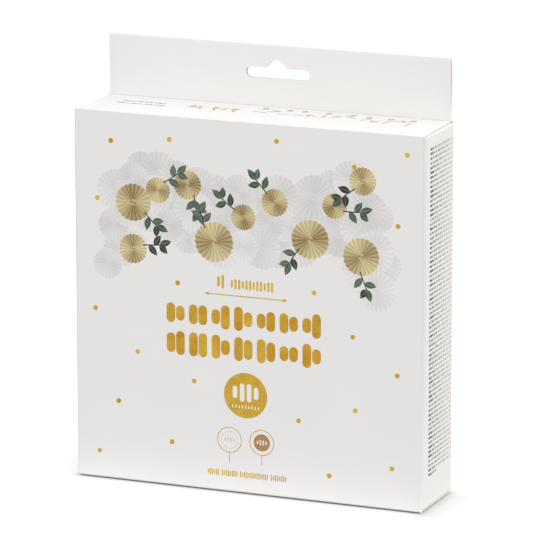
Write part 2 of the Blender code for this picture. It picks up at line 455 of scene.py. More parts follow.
# The last block is the bump's foot. Its top is drawn in to where the round head begins.
bpy.ops.object.mode_set(mode="EDIT")
pick("VERT", lambda at: at.z > slot_foot + (BUMP_FOOT + slant_head) / 2)
narrowed = (shoulder_reach / slant_half, 1, 1)
bpy.ops.transform.resize(value=narrowed, center_override=(BUMP_SIDE, DEEP, slot_foot))
bpy.ops.object.mode_set(mode="OBJECT")
for part in punch_parts:
    part.data.materials.append(raw_edge)
    bpy.ops.object.select_all(action="DESELECT")
    punch = body.modifiers.new("punch", "BOOLEAN")
    punch.object = part
    punch.material_mode = "TRANSFER"
    bpy.context.view_layer.objects.active = body
    bpy.ops.object.modifier_apply(modifier=punch.name)
    bpy.data.objects.remove(part)

# Printing on the front panel
# The sheet is printed and stamped with gold foil before it is cut and folded, so every mark lies flush in the
# board's face: a picture of paper rosettes, two bold rows, a foil disc, two small signs and scattered dots.
PARALLEL = 0.9999
CUT_FINENESS = 1e-8
RING_POINTS = 48
PLEATS = 22


def tint(red, green, blue):
    """A colour as it looks in print, 0 to 255, turned into the light that it sends back."""
    return (*(((part / 255 + 0.055) / 1.055) ** 2.4 for part in (red, green, blue)), 1)


def arc(middle, radius, first, sweep, steps):
    """Points on a round, from the angle first and through the angle sweep."""
    turns = [first + sweep * i / steps for i in range(steps + 1)]
    return [(middle[0] + radius * math.cos(turn), middle[1] + radius * math.sin(turn)) for turn in turns]


def uneven_round(middle, reaches, turn=0):
    """An outline once round a middle, whose reach from it varies."""
    turns = [turn + math.tau * i / len(reaches) for i in range(len(reaches))]
    return [(middle[0] + r * math.cos(a), middle[1] + r * math.sin(a)) for a, r in zip(turns, reaches)]


class Printing:
    """The marks of one panel, in metres along its two directions. Later marks lie over earlier ones. A mark's
    middle, size and turn give the frame that its ink is painted in, and its tone says how light it is."""

    def __init__(self):
        self.marks = []

    def mark(self, ink, outline, middle=(0, 0), size=1, turn=0, tone=0.5):
        self.marks.append((ink, outline, Vector(middle), size, turn, tone))

    def disc(self, ink, middle, radius, tone=0.5, points=32):
        self.mark(ink, arc(middle, radius, 0, math.tau, points)[:-1], middle, radius, 0, tone)

    def ring(self, ink, middle, radius, width):
        self.disc(ink, middle, radius + width / 2, points=RING_POINTS)
        self.disc(coated_board, middle, radius - width / 2, points=RING_POINTS)

    def stroke(self, ink, start, end, width, tone=0.5, cap=8):
        """A straight stroke with round ends."""
        start = Vector(start)
        end = Vector(end)
        heading = math.atan2(end.y - start.y, end.x - start.x)
        far_end = arc(end, width / 2, heading - math.pi / 2, math.pi, cap)
        near_end = arc(start, width / 2, heading + math.pi / 2, math.pi, cap)
        self.mark(ink, far_end + near_end, start, width, heading, tone)

    def bar(self, ink, x, y, reach, width, tone=0.5, cap=8):
        """An upright stroke that reaches up and down from its middle."""
        self.stroke(ink, (x, y - reach), (x, y + reach), width, tone, cap)

    def bar_row(self, ink, middle, pitch, width, reaches, cap=8):
        """Bars side by side, each with its own reach."""
        for i, reach in enumerate(reaches):
            x = middle[0] + (i - (len(reaches) - 1) / 2) * pitch
            self.bar(ink, x, middle[1], reach, width, cap=cap)

    def tick(self, ink, left, foot, width, height):
        """A small upright bar, the stand-in for a letter in a row of fine print."""
        corners = ((left, foot), (left + width, foot), (left + width, foot + height), (left, foot + height))
        self.mark(ink, corners)

    def press(self, sheet, across, up, test=lambda at: True):
        """Cuts the marks' outlines into the sheet's outermost flat face that looks along across x up."""
        across = Vector(across)
        up = Vector(up)
        facing = across.cross(up)
        mesh = bmesh.new()
        mesh.from_mesh(sheet.data)
        looking = [f for f in mesh.faces if f.normal.dot(facing) > PARALLEL and test(f.calc_center_median())]
        outermost = max(f.calc_center_median().dot(facing) for f in looking)
        panel = {f for f in looking if near(f.calc_center_median().dot(facing), outermost)}

        # The rim goes round the panel's faces, corner by corner.
        following = {}
        for face in panel:
            for corner in face.loops:
                if sum(f in panel for f in corner.edge.link_faces) == 1:
                    following[corner.vert] = corner.link_loop_next.vert
        rim = [min(following, key=lambda vert: vert.index)]
        while following[rim[-1]] is not rim[0]:
            rim.append(following[rim[-1]])

        # The faces give way to small pieces whose borders are the outlines of the marks.
        points = [Vector((vert.co.dot(across), vert.co.dot(up))) for vert in rim]
        outlines = [list(range(len(rim)))]
        for _, outline, *_ in self.marks:
            outlines.append(list(range(len(points), len(points) + len(outline))))
            points += [Vector(point) for point in outline]
        found, _, pieces, sources, _, covers = delaunay_2d_cdt(points, [], outlines, 1, CUT_FINENESS, True)
        bmesh.ops.delete(mesh, geom=list(panel), context="FACES_KEEP_BOUNDARY")
        verts = []
        for point, source in zip(found, sources):
            old = [index for index in source if index < len(rim)]
            if old:
                verts.append(rim[old[0]])
            else:
                verts.append(mesh.verts.new(across * point.x + up * point.y + facing * outermost))

        # Each piece takes the ink, tone and own place of the topmost mark that covers it.
        for ink, *_ in self.marks:
            if ink.name not in sheet.data.materials:
                sheet.data.materials.append(ink)
        slots = {finish.name: slot for slot, finish in enumerate(sheet.data.materials)}
        own_place = mesh.loops.layers.uv.verify()
        own_tone = mesh.faces.layers.float.get("tone") or mesh.faces.layers.float.new("tone")
        for piece, cover in zip(pieces, covers):
            face = mesh.faces.new([verts[index] for index in piece])
            face.smooth = True
            if max(cover) == 0:
                continue
            ink, outline, middle, size, turn, tone = self.marks[max(cover) - 1]
            face.material_index = slots[ink.name]
            face[own_tone] = tone
            for corner in face.loops:
                point = Vector((corner.vert.co.dot(across), corner.vert.co.dot(up))) - middle
                point.rotate(Matrix.Rotation(-turn, 2))
                corner[own_place].uv = point / size
        mesh.to_mesh(sheet.data)
        mesh.free()


def paint_foil(wire):
    """Stamped gold foil: bright metal, finely crinkled, its colour mottled in patches and paler on marks of
    high tone as a painted glint.
    """
    place = wire.place()
    tone = wire.tone()
    grain = place.noise(0.0007, 4)
    patch = place.noise(0.006, 2)
    # Painted glint: the gold turns paler where the noise and the mark's tone are high.
    shine = grain * 0.8 + patch * 1.1 + tone - 0.93
    colour = shine.between(0, 1).mix(tint(222, 160, 34), tint(255, 216, 98))
    crinkle = grain.bump(0.00004, 0.6, patch.bump(0.0006, 0.5))
    return {"Base Color": colour, "Roughness": grain * 0.2 + 0.22, "Normal": crinkle}


def pleat_light(wire):
    """What a rosette's light is made of: a bright and a dim side on each pleat, a slope over it, the way out
    from the middle, and two shining arms."""
    s, t = wire.own_place()
    angle = t.math("ARCTAN2", s)
    side = (angle * (PLEATS / math.pi)).math("FLOOR").math("FLOORED_MODULO", 2)
    slope = (angle * (PLEATS / math.pi)).math("PINGPONG", 1)
    out = (s * s + t * t).math("SQRT")
    arms = (angle * 2 - 0.9).math("SINE") * 0.5 + 0.5
    return side, slope, out, arms


def paint_gold_paper(wire):
    """Rosettes of gold paper, in printed ink."""
    side, slope, out, arms = pleat_light(wire)
    light = arms * 0.45 + side * 0.22 + slope * 0.12 + out * 0.2 + wire.tone() * 0.16 - 0.14
    ramp = {"stops": ((0.0, tint(126, 96, 42)), (1.0, tint(236, 222, 172)))}
    colour = light.node("ShaderNodeValToRGB", ramp, {"Fac": light})
    return {"Base Color": colour, "Roughness": light * 0.05 + 0.38, "Normal": waviness(wire)}


def paint_white_paper(wire):
    """Rosettes of white and pale grey paper, in printed ink."""
    side, slope, out, arms = pleat_light(wire)
    light = arms * 0.25 + side * 0.2 + slope * 0.1 + out * 0.25 + wire.tone() * 0.4 - 0.1
    colour = light.mix(tint(206, 204, 203), tint(240, 238, 237))
    return {"Base Color": colour, "Roughness": light * 0.05 + 0.4, "Normal": waviness(wire)}


def paint_leaf(wire):
    """Leaves with a pale rib, dark to grey green."""
    s, t = wire.own_place()
    rib = 1 - (t.math("ABSOLUTE") * 14).math("MINIMUM", 1)
    depth = wire.tone() * 0.9 + wire.place().noise(0.002, 2) * 0.5 - 0.32
    blade = depth.between(0, 1).mix(tint(28, 42, 28), tint(118, 140, 118))
    colour = (rib * 0.35).mix(blade, tint(150, 168, 146))
    return {"Base Color": colour, "Roughness": s * 0.02 + 0.42, "Normal": waviness(wire)}


def flat_ink(name, low, high):
    """Plain offset ink: even, with the faint cloudiness that board gives it."""

    def paint(wire):
        cloud = wire.place().noise(0.0015, 3)
        return {"Base Color": cloud.mix(tint(*low), tint(*high)), "Roughness": cloud * 0.06 + 0.42}

    return new_finish(name, PRINT_GLOSS, paint)


def paint_text_ink_with_sheen(wire):
    """Near-black ink, painted paler towards the back of the carton as a sheen."""
    place = wire.place()
    y = place.parts()[1]
    cloud = place.noise(0.0015, 3)
    ink = cloud.mix(tint(44, 38, 42), tint(64, 58, 62))
    # Painted sheen: the ink turns up to four fifths of the way to pale grey towards the back.
    colour = (y.between(-DEEP / 2, DEEP) * 0.8).mix(ink, tint(224, 220, 218))
    return {"Base Color": colour, "Roughness": cloud * 0.06 + 0.42}


gold_foil = new_finish("gold_foil", {"Metallic": 1}, paint_foil)
gold_paper = new_finish("gold_paper", PRINT_GLOSS, paint_gold_paper)
white_paper = new_finish("white_paper", PRINT_GLOSS, paint_white_paper)
leaf_ink = new_finish("leaf_ink", PRINT_GLOSS, paint_leaf)
bronze_ink = flat_ink("bronze_ink", (168, 128, 78), (184, 144, 94))
pale_grey_ink = flat_ink("pale_grey_ink", (206, 206, 205), (216, 216, 215))
tan_ink = flat_ink("tan_ink", (178, 154, 132), (194, 170, 148))
text_ink_with_sheen = new_finish("text_ink_with_sheen", PRINT_GLOSS, paint_text_ink_with_sheen)
title_ink = flat_ink("title_ink", (44, 38, 42), (64, 58, 62))

front = Printing()

# The picture is a draped garland of pleated paper rosettes, with sprays of leaves between them. It sags in
# the middle, and both its ends hang down.
GARLAND_HALF = 0.0605
GARLAND_MIDDLE = 0.1355
GARLAND_SAG = 0.0165
GARLAND_THICK = 0.0135
DROP_FROM = 0.72
DROP_OUT = 0.0065
DROP_LENGTH = 0.045
WHITE_ROSETTES = 50
GOLD_ROSETTES = 11
PLEAT_DEPTH = 0.05
BUTTON = 0.16
LEAF_STEPS = 8
LEAF_LENGTH = 0.0068
LEAF_POINT = 0.85
LEAF_SPREAD = 0.95
STALK_STEP = 0.42
STALK_WIDTH = 0.0006
SPRAY_LEAVES = 3
garland = random.Random(7)


def garland_point(share, off=0.0):
    """A place on the garland, from -1 at its left end to 1 at its right, and off its middle line."""
    side = -1 if share < 0 else 1
    if abs(share) < DROP_FROM:
        along = share / DROP_FROM
        return Vector((GARLAND_HALF * along, GARLAND_MIDDLE + GARLAND_SAG * along * along + off))
    down = (abs(share) - DROP_FROM) / (1 - DROP_FROM)
    x = side * (GARLAND_HALF + DROP_OUT * math.sin(math.pi / 2 * down)) + off * 0.6
    return Vector((x, GARLAND_MIDDLE + GARLAND_SAG - DROP_LENGTH * down))


def rosette(ink, middle, radius, turn, tone):
    """A pleated paper fan in the round, with a button in its middle."""
    reaches = [radius, radius * (1 - PLEAT_DEPTH)] * PLEATS
    front.mark(ink, uneven_round(middle, reaches, turn), middle, radius, turn, tone)
    front.disc(ink, middle, radius * BUTTON, tone * 0.6)


def leaf(start, heading, length, width, tone):
    """One leaf, pointed at both ends, from its stalk outwards."""
    along = Vector((math.cos(heading), math.sin(heading)))
    beside = Vector((-along.y, along.x))
    shares = [i / LEAF_STEPS for i in range(LEAF_STEPS + 1)]
    rib = [start + along * length * share for share in shares]
    swell = [beside * width / 2 * math.sin(math.pi * share**LEAF_POINT) for share in shares]
    upper = [point + out for point, out in zip(rib, swell)]
    lower = [point - out for point, out in zip(rib, swell)]
    front.mark(leaf_ink, lower[1:-1] + upper[::-1], start, length, heading, tone)


def spray(start, heading, leaves, length, tone):
    """A bent stalk with leaves in turn on either side and one at its tip."""
    here = Vector(start)
    for i in range(leaves):
        ahead = here + Vector((math.cos(heading), math.sin(heading))) * length * STALK_STEP
        front.stroke(leaf_ink, here, ahead, STALK_WIDTH, 0.15, 4)
        side = 1 if i % 2 else -1
        leaf_tone = tone + garland.uniform(-0.3, 0.3)
        leaf(ahead, heading + side * LEAF_SPREAD, length * (1 - 0.06 * i), length / 2, leaf_tone)
        heading += garland.uniform(-0.1, 0.25)
        here = ahead
    leaf(here, heading, length, length / 2, tone)


# White rosettes stand in three rows along the garland, and gold ones lie over them here and there.
layers = []
for i in range(WHITE_ROSETTES):
    share = -1 + 2 * (i + 0.5) / WHITE_ROSETTES + garland.uniform(-0.02, 0.02)
    off = (i % 3 - 1) * GARLAND_THICK * (1 - 0.3 * abs(share)) + garland.uniform(-0.002, 0.002)
    layers.append((garland.uniform(0, 0.8), white_paper, share, off, garland.uniform(0.0075, 0.011)))
for i in range(GOLD_ROSETTES):
    share = -1 + 2 * (i + 0.5) / GOLD_ROSETTES + garland.uniform(-0.03, 0.03)
    off = (0.75, -0.8, 0.1)[i % 3] * GARLAND_THICK + garland.uniform(-0.002, 0.002)
    size = (0.0072, 0.0098, 0.0062)[i % 3] * garland.uniform(0.95, 1.05)
    layers.append((garland.uniform(0.7, 1), gold_paper, share, off, size))
for _, ink, share, off, radius in sorted(layers, key=lambda layer: layer[0]):
    tone = garland.uniform(0.2, 0.9)
    rosette(ink, garland_point(share, off), radius, garland.uniform(0, math.tau), tone)
    if ink is gold_paper:
        heading = garland.uniform(0.3, 2.8) * garland.choice((-1, 1))
        start = garland_point(share, off) + Vector((math.cos(heading), math.sin(heading))) * radius * 0.8
        bend = garland.uniform(-0.5, 0.5)
        spray(start, heading + bend, SPRAY_LEAVES, LEAF_LENGTH, garland.uniform(0.2, 0.6))

# The bold rows are pairs of round-ended foil bars of two heights, standing either side of a middle line.
ROW_LEFT = -0.0434
ROW_WIDTH = 0.0834
ROW_HEIGHT = 0.0121
ROW_PAIRS = 7
ROW_MIDDLES = (0.0875, 0.0724)
BAR_WIDTH = 0.0046
BAR_HEIGHTS = (1, 0.62, 0.82)
PAIR_START = 0.27
PAIR_STEP = 0.42
bars = random.Random(5)
pitch = ROW_WIDTH / ROW_PAIRS
for middle_height in ROW_MIDDLES:
    for i in range(ROW_PAIRS):
        for half in (0, 1):
            tall = ROW_HEIGHT * bars.choice(BAR_HEIGHTS)
            x = ROW_LEFT + (i + PAIR_START + PAIR_STEP * half) * pitch
            reach = (tall - BAR_WIDTH) / 2
            tone = bars.uniform(0.25, 0.6)
            front.bar(gold_foil, x, middle_height, reach, BAR_WIDTH, tone, 10)


def foil_row(left, right, middle_height, bar_height, groups):
    """A small row of foil bars in groups, with every third one shorter."""
    pitch = (right - left) / (sum(groups) + len(groups) - 1)
    slot = 0
    for group in groups:
        for i in range(group):
            x = left + (slot + 0.5) * pitch
            reach = bar_height * (0.5 if (slot + i) % 3 else 0.36) - pitch * 0.16
            front.bar(gold_foil, x, middle_height, reach, pitch * 0.62, 0.8, 4)
            slot += 1
        slot += 1


# Two rows stand side by side over the rule, and a long one runs along the panel's foot.
foil_row(-0.016, -0.0115, 0.1052, 0.0062, (2,))
foil_row(-0.0088, 0.0141, 0.1046, 0.0045, (12,))
foil_row(-0.0212, 0.0208, 0.0092, 0.003, (6, 8, 14, 8))

# A thin rule with an arrowhead at each end.
RULE_HEIGHT = 0.0988
RULE_HALF = 0.0219
RULE_MIDDLE = -0.0006
RULE_WIDTH = 0.0005
RULE_TUCK = 0.001
HEAD_LENGTH = 0.0024
HEAD_HALF = 0.00095
FOIL_TONE = 0.6
rule_ends = [(RULE_MIDDLE + way * (RULE_HALF - RULE_TUCK), RULE_HEIGHT) for way in (-1, 1)]
front.stroke(gold_foil, *rule_ends, RULE_WIDTH, FOIL_TONE, 4)
for way in (-1, 1):
    tip = RULE_MIDDLE + way * RULE_HALF
    root = tip - way * HEAD_LENGTH
    head = ((tip, RULE_HEIGHT), (root, RULE_HEIGHT + way * HEAD_HALF), (root, RULE_HEIGHT - way * HEAD_HALF))
    front.mark(gold_foil, head, (tip, RULE_HEIGHT), HEAD_LENGTH, 0, FOIL_TONE)

# The foil disc has four large and nine small bare bars, where the board shows through.
DISC_MIDDLE = Vector((-0.0008, 0.0493))
DISC_RADIUS = 0.0114
DISC_POINTS = 64
DISC_BAR_REACHES = (0.0019, 0.0034, 0.0034, 0.0019)
DISC_BAR_PITCH = 0.0037
DISC_BAR_WIDTH = 0.0024
DISC_BAR_RISE = 0.0014
DISC_TICK_REACHES = (0.00055,) * 9
DISC_TICK_PITCH = 0.0017
DISC_TICK_WIDTH = 0.0006
DISC_TICK_RISE = -0.00585
bars_at = DISC_MIDDLE + Vector((0, DISC_BAR_RISE))
ticks_at = DISC_MIDDLE + Vector((0, DISC_TICK_RISE))
front.disc(gold_foil, DISC_MIDDLE, DISC_RADIUS, FOIL_TONE, DISC_POINTS)
front.bar_row(coated_board, bars_at, DISC_BAR_PITCH, DISC_BAR_WIDTH, DISC_BAR_REACHES)
front.bar_row(coated_board, ticks_at, DISC_TICK_PITCH, DISC_TICK_WIDTH, DISC_TICK_REACHES, cap=4)

# Two signs: a rosette in outline on a short thread, one holding a pale ring and one a bronze disc.
SIGN_RADIUS = 0.0066
SIGN_LINE = 0.00045
SIGN_THREAD = 0.0046
SIGN_INSIDE = 0.0043
SIGN_INSIDE_LINE = 0.0003
SIGN_BAR_REACHES = (0.0006, 0.001, 0.001, 0.0006)
SIGN_BAR_PITCH = 0.0015
SIGN_BAR_WIDTH = 0.0007
SCALLOPS = 14
SCALLOP_STEPS = 6
SCALLOP_DEPTH = 0.035
SCALLOP_ROUNDNESS = 0.7
LEFT_SIGN = (-0.0093, 0.0262)
RIGHT_SIGN = (0.0077, 0.0264)


def scalloped(middle, radius):
    """A round outline with a scalloped edge."""
    swells = [abs(math.cos(math.pi * i / SCALLOP_STEPS)) ** SCALLOP_ROUNDNESS for i in range(SCALLOP_STEPS)]
    reaches = [radius * (1 - SCALLOP_DEPTH + SCALLOP_DEPTH * swell) for swell in swells]
    return uneven_round(middle, reaches * SCALLOPS)


def sign(middle):
    """The outline of a rosette, on its thread."""
    thread_end = (middle[0], middle[1] - SIGN_RADIUS - SIGN_THREAD)
    front.stroke(gold_foil, middle, thread_end, SIGN_LINE, FOIL_TONE, 4)
    front.mark(gold_foil, scalloped(middle, SIGN_RADIUS), middle, SIGN_RADIUS, 0, FOIL_TONE)
    front.mark(coated_board, scalloped(middle, SIGN_RADIUS - SIGN_LINE), middle)


sign(LEFT_SIGN)
front.ring(pale_grey_ink, LEFT_SIGN, SIGN_INSIDE, SIGN_INSIDE_LINE)
sign(RIGHT_SIGN)
front.disc(bronze_ink, RIGHT_SIGN, SIGN_INSIDE, points=RING_POINTS)
for middle, ink in ((LEFT_SIGN, pale_grey_ink), (RIGHT_SIGN, coated_board)):
    front.bar_row(ink, middle, SIGN_BAR_PITCH, SIGN_BAR_WIDTH, SIGN_BAR_REACHES, cap=4)

# Gold dots are scattered over the whole panel, a few centimetres apart. Their places are in millimetres.
DOT_RADIUS = 0.00125
DOT_POINTS = 20
DOTS = (
    (-71.5, 170.5), (-40.5, 173.5), (15.5, 177), (55.5, 167.5), (82.5, 175.5), (-79, 141.5), (78, 140.5),
    (-36.5, 102.5), (35, 104), (-80.5, 86), (55, 84), (-58, 66), (78, 67), (-28, 54), (-68.5, 40),
    (56.5, 47.5), (27, 39.5), (-40, 22), (-79, 13.5), (75.5, 20.5), (43, 13.5),
)


def dot(panel, i, x, z):
    """One of the gold dots, some of which get more painted glint than others."""
    panel.disc(gold_foil, (x / 1000, z / 1000), DOT_RADIUS, 0.3 + 0.75 * (i * 5 % 7) / 7, DOT_POINTS)


for i, (x, z) in enumerate(DOTS):
    dot(front, i, x, z)
front.press(body, (1, 0, 0), (0, 0, 1))

# Printing on the side panels
# The right panel is filled with fine print: close rows of small grey ticks in words, a few of them bold.
PRINT_TOP = 0.1766
PRINT_FOOT = 0.016
PRINT_LEFT = -0.0118
PRINT_RIGHT = 0.0194
PRINT_ROWS = 71
TICK = 0.00045
TICK_PITCH = 0.00064
TICK_HEIGHT = 0.00106
TALL_TICK = 1.3
DROP = 0.3
BOLD = 1.33
WORD_GAP = 1.2
LAST_ROW_LENGTH = 0.012
row_pitch = (PRINT_TOP - PRINT_FOOT) / (PRINT_ROWS - 1)
words = random.Random(3)
fine_print = Printing()


def print_row(panel, left, right, foot, bold_words, ink=text_ink_with_sheen):
    """A row of words. Each is a few ticks, some taller and some reaching below the line, and the first words
    are bold, as many as bold_words says."""
    x = left
    while x < right - TICK_PITCH:
        letters = words.randint(2, 9)
        for i in range(letters):
            if x > right - TICK:
                break
            tall = words.random()
            height = TICK_HEIGHT * (TALL_TICK if tall > 0.85 else 1)
            drop = TICK_HEIGHT * DROP if tall < 0.1 else 0
            panel.tick(ink, x, foot - drop, TICK * (BOLD if bold_words > 0 else 1), height + drop)
            x += TICK_PITCH
        bold_words -= 1
        x += TICK_PITCH * WORD_GAP


for row in range(PRINT_ROWS):
    row_end = PRINT_RIGHT if row < PRINT_ROWS - 1 else PRINT_LEFT + LAST_ROW_LENGTH
    print_row(fine_print, PRINT_LEFT, row_end, PRINT_TOP - row * row_pitch, 1 if row % 4 != 3 else 0)
fine_print.press(body, (0, 1, 0), (0, 0, 1))

# The left panel, unseen in the photograph, is given a shorter block of the same print and a few dots.
LEFT_TOP = 0.1166
LEFT_ROWS = 26
LEFT_DOTS = ((-9, 172), (8, 158), (-4, 140), (6, 40), (-9, 24), (3, 12))
left_print = Printing()
for row in range(LEFT_ROWS):
    print_row(left_print, PRINT_LEFT, -PRINT_LEFT, LEFT_TOP - row * row_pitch, 1 if row % 8 == 0 else 0)
for x, z in LEFT_DOTS:
    left_print.disc(gold_foil, (x / 1000, z / 1000), DOT_RADIUS, FOIL_TONE, DOT_POINTS)
left_print.press(body, (0, -1, 0), (0, 0, 1))

# Printing on the back panel
# It isn't seen in the photograph either: dots as on the front, a row of foil bars, two columns of fine print
# and a row of small tan signs.
BACK_BARS = 14
BACK_BARS_MIDDLE = (0.0001, 0.158)
BACK_BAR_PITCH = 0.0054
BACK_BAR_WIDTH = 0.0022
BACK_BAR_REACH = 0.0035
COLUMNS = (-0.07, 0.008)
COLUMN_WIDTH = 0.062
COLUMN_TOP = 0.14
COLUMN_ROWS = 20
COLUMN_PITCH = 0.0026
BACK_SIGNS = 6
BACK_SIGN_LEFT = -0.065
BACK_SIGN_HEIGHT = 0.06
BACK_SIGN_PITCH = 0.026
BACK_SIGN_RADIUS = 0.006
BACK_SIGN_LINE = 0.0005
BACK_SIGN_REACHES = (0.0016, 0.003, 0.0022)
BACK_SIGN_BAR_PITCH = 0.003
BACK_SIGN_BAR_WIDTH = 0.001
HIGH_DOTS = 172
LOW_DOTS = 48
back_print = Printing()
reaches = [BACK_BAR_REACH * bars.choice(BAR_HEIGHTS) for _ in range(BACK_BARS)]
back_print.bar_row(gold_foil, BACK_BARS_MIDDLE, BACK_BAR_PITCH, BACK_BAR_WIDTH, reaches)
for column in COLUMNS:
    for row in range(COLUMN_ROWS):
        foot = COLUMN_TOP - row * COLUMN_PITCH
        print_row(back_print, column, column + COLUMN_WIDTH, foot, 1 if row % 7 == 0 else 0)
for i in range(BACK_SIGNS):
    middle = (BACK_SIGN_LEFT + i * BACK_SIGN_PITCH, BACK_SIGN_HEIGHT)
    back_print.ring(tan_ink, middle, BACK_SIGN_RADIUS, BACK_SIGN_LINE)
    back_print.bar_row(tan_ink, middle, BACK_SIGN_BAR_PITCH, BACK_SIGN_BAR_WIDTH, BACK_SIGN_REACHES)
for i, (x, z) in enumerate(DOTS):
    if z > HIGH_DOTS or z < LOW_DOTS:
        dot(back_print, i, -x, z)
back_print.press(body, (-1, 0, 0), (0, 0, 1), lambda at: at.z < HEIGHT)

# Glued seam
# A strip of the left side panel is carried on round the back corner and glued inside the back panel. Its free
# edge is slanted at both ends.
SEAM_WIDTH = 0.014
SEAM_FOOT = 0.020
SEAM_HEAD = 0.006
SEAM_SLANT = SEAM_WIDTH / 3
GLUE = 0.00005

seam_length = HEIGHT - SEAM_HEAD - SEAM_FOOT
seam_middle = (SEAM_FOOT + HEIGHT - SEAM_HEAD) / 2
seam = start_sheet(
    "glue_seam",
    (BOARD - ACROSS + SEAM_WIDTH / 2, DEEP - BOARD - GLUE, seam_middle),
    (SEAM_WIDTH, seam_length),
    (-math.pi / 2, 0, 0),
)
pick("VERT", lambda at: near(at.x, BOARD - ACROSS + SEAM_WIDTH))
slanted = (seam_length - 2 * SEAM_SLANT) / seam_length
bpy.ops.transform.resize(value=(1, 1, slanted), center_override=(0, 0, seam_middle))
give_thickness(seam, coated_board)
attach(seam, "carton")

# Top lid
# The lid panel is hinged at the foot of the tab's front layer. At the front it turns down into a tuck flap
# with round corners, which leans in behind the front panel.
TUCK_LEAN = math.radians(12)
TUCK_PLAY = 0.0005
TUCK_SHOULDER = 0.0018
TUCK_TAPER = 0.0018
TUCK_CORNER = 0.008
TUCK_LENGTH = 0.014
CREASE_REACH = 0.0005

TOP_AXIS = Vector((0, DEEP - 2 * BOARD - LAYER_PLAY - CREASE, HEIGHT + CREASE))


def print_side_down():
    """A sheet starts with its printed face up; at the carton's foot it is turned down."""
    bpy.ops.mesh.select_all(action="SELECT")
    bpy.ops.mesh.flip_normals()


def make_lid(name, half, free_half, hinge_edge, front_edge, face, inward):
    """A lid, a little wider at its free edge than at its hinge, and its tuck flap. The printed face lies at
    the height face, and inward is -1 when the flap turns down."""
    way = 1 if front_edge > hinge_edge else -1
    turn_from = front_edge - way * BEND
    lid = start_sheet(name, (0, (hinge_edge + turn_from) / 2, face), (2 * half, abs(turn_from - hinge_edge)))
    pick("EDGE", lambda at: near(at.y, turn_from))
    bpy.ops.transform.resize(value=(free_half / half, 1, 1), center_override=(0, turn_from, face))
    fold(math.pi / 2 + TUCK_LEAN, (0, turn_from, face + inward * BEND))
    end_y = turn_from + way * BEND * math.cos(TUCK_LEAN)
    end_z = face + inward * (BEND + BEND * math.sin(TUCK_LEAN))
    end = Vector((0, end_y, end_z))
    neck = TAB_HALF - TUCK_SHOULDER
    for side in (-1, 1):
        cut(lambda at: True, (side * neck, 0, 0), (1, 0, 0))
    pick("EDGE", lambda at: near(at.x, 0) and near(at.y, end.y) and near(at.z, end.z))
    run = Vector((0, -way * math.sin(TUCK_LEAN), inward * math.cos(TUCK_LEAN))) * TUCK_LENGTH
    slide(run)
    bpy.ops.transform.resize(value=((neck - TUCK_TAPER) / neck, 1, 1), center_override=end + run)
    bpy.ops.mesh.select_mode(type="VERT")
    bpy.ops.mesh.bevel(offset=TUCK_CORNER, segments=BEND_STEPS, affect="VERTICES")
    if inward > 0:
        print_side_down()
    give_thickness(lid, coated_board)
    return lid


top_lid = make_lid(
    "top_lid_board",
    TAB_HALF,
    ACROSS - LAYER_PLAY,
    TOP_AXIS.y - CREASE_REACH,
    BOARD + TUCK_PLAY - DEEP,
    HEIGHT,
    -1,
)

# Two close rows of fine print, then five groups of small tan signs in a row.
LID_ROWS = ((-0.0765, -0.0535, 0.0062), (-0.078, -0.051, 0.0012))
SIGN_GROUPS = (
    (-0.0416, -0.0326, 0.0009, 0.0084), (-0.0296, -0.0143, 0.0004, 0.0079), (-0.007, 0.012, 0.0005, 0.0148),
    (0.0135, 0.0448, -0.002, 0.0151), (0.0478, 0.0763, -0.0022, 0.0131),
)
SIGN_STROKE = 0.0012
SIGN_PITCH = 0.0058
SIGN_DOT = 0.0017
SIGN_DOT_DROP = 0.0013
ALL_BOLD = 99

lid_print = Printing()
for row_start, row_end, foot in LID_ROWS:
    print_row(lid_print, row_start, row_end, foot, ALL_BOLD, title_ink)
signs = random.Random(11)
for group_start, group_end, low, high in SIGN_GROUPS:
    length = group_end - group_start
    count = max(2, round(length / SIGN_PITCH))
    for i in range(count):
        x = group_start + (i + 0.5) * length / count
        middle = Vector((x, low + (high - low) * signs.uniform(0.3, 0.7)))
        reach = SIGN_PITCH * signs.uniform(0.36, 0.56)
        turn = signs.uniform(0, math.pi)
        way = Vector((math.cos(turn), math.sin(turn))) * reach
        lid_print.stroke(tan_ink, middle - way, middle + way, SIGN_STROKE)
        if i % 2 == 0:
            lid_print.disc(tan_ink, (x, high - SIGN_DOT_DROP), SIGN_DOT)
        else:
            lid_print.stroke(tan_ink, middle + way, middle + Vector((-way.y, way.x)), SIGN_STROKE)
lid_print.press(top_lid, (1, 0, 0), (0, 1, 0))
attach(top_lid, "top_lid")
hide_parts("top_lid")

# Bottom lid
# It is hinged at the front panel's lower edge, as wide there as that panel's flat part and a little wider at
# the back, where it is tucked in behind the back panel.
BOTTOM_HALF = ACROSS - BEND

bottom_lid = make_lid(
    "bottom_lid_board",
    BOTTOM_HALF,
    ACROSS - LAYER_PLAY,
    BEND + CREASE_REACH - DEEP,
    DEEP - BOARD - TUCK_PLAY,
    0,
    1,
)

# The bottom lid has a patch of upright dark bars with fine print under it.
BARS_LEFT = -0.07
BARS_FOOT = -0.008
BARS_HEIGHT = 0.014
BARS_COUNT = 30
DARK_BAR_WIDTHS = (0.0003, 0.0003, 0.0006, 0.0009)
DARK_BAR_GAPS = (0.0003, 0.0006)
UNDER_BARS = 0.002
bottom_print = Printing()
x = BARS_LEFT
for _ in range(BARS_COUNT):
    width = signs.choice(DARK_BAR_WIDTHS)
    bottom_print.tick(text_ink_with_sheen, x, BARS_FOOT, width, BARS_HEIGHT)
    x += width + signs.choice(DARK_BAR_GAPS)
print_row(bottom_print, BARS_LEFT, x, BARS_FOOT - UNDER_BARS, 0)
bottom_print.press(bottom_lid, (1, 0, 0), (0, -1, 0))
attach(bottom_lid, "bottom_lid")
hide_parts("bottom_lid")

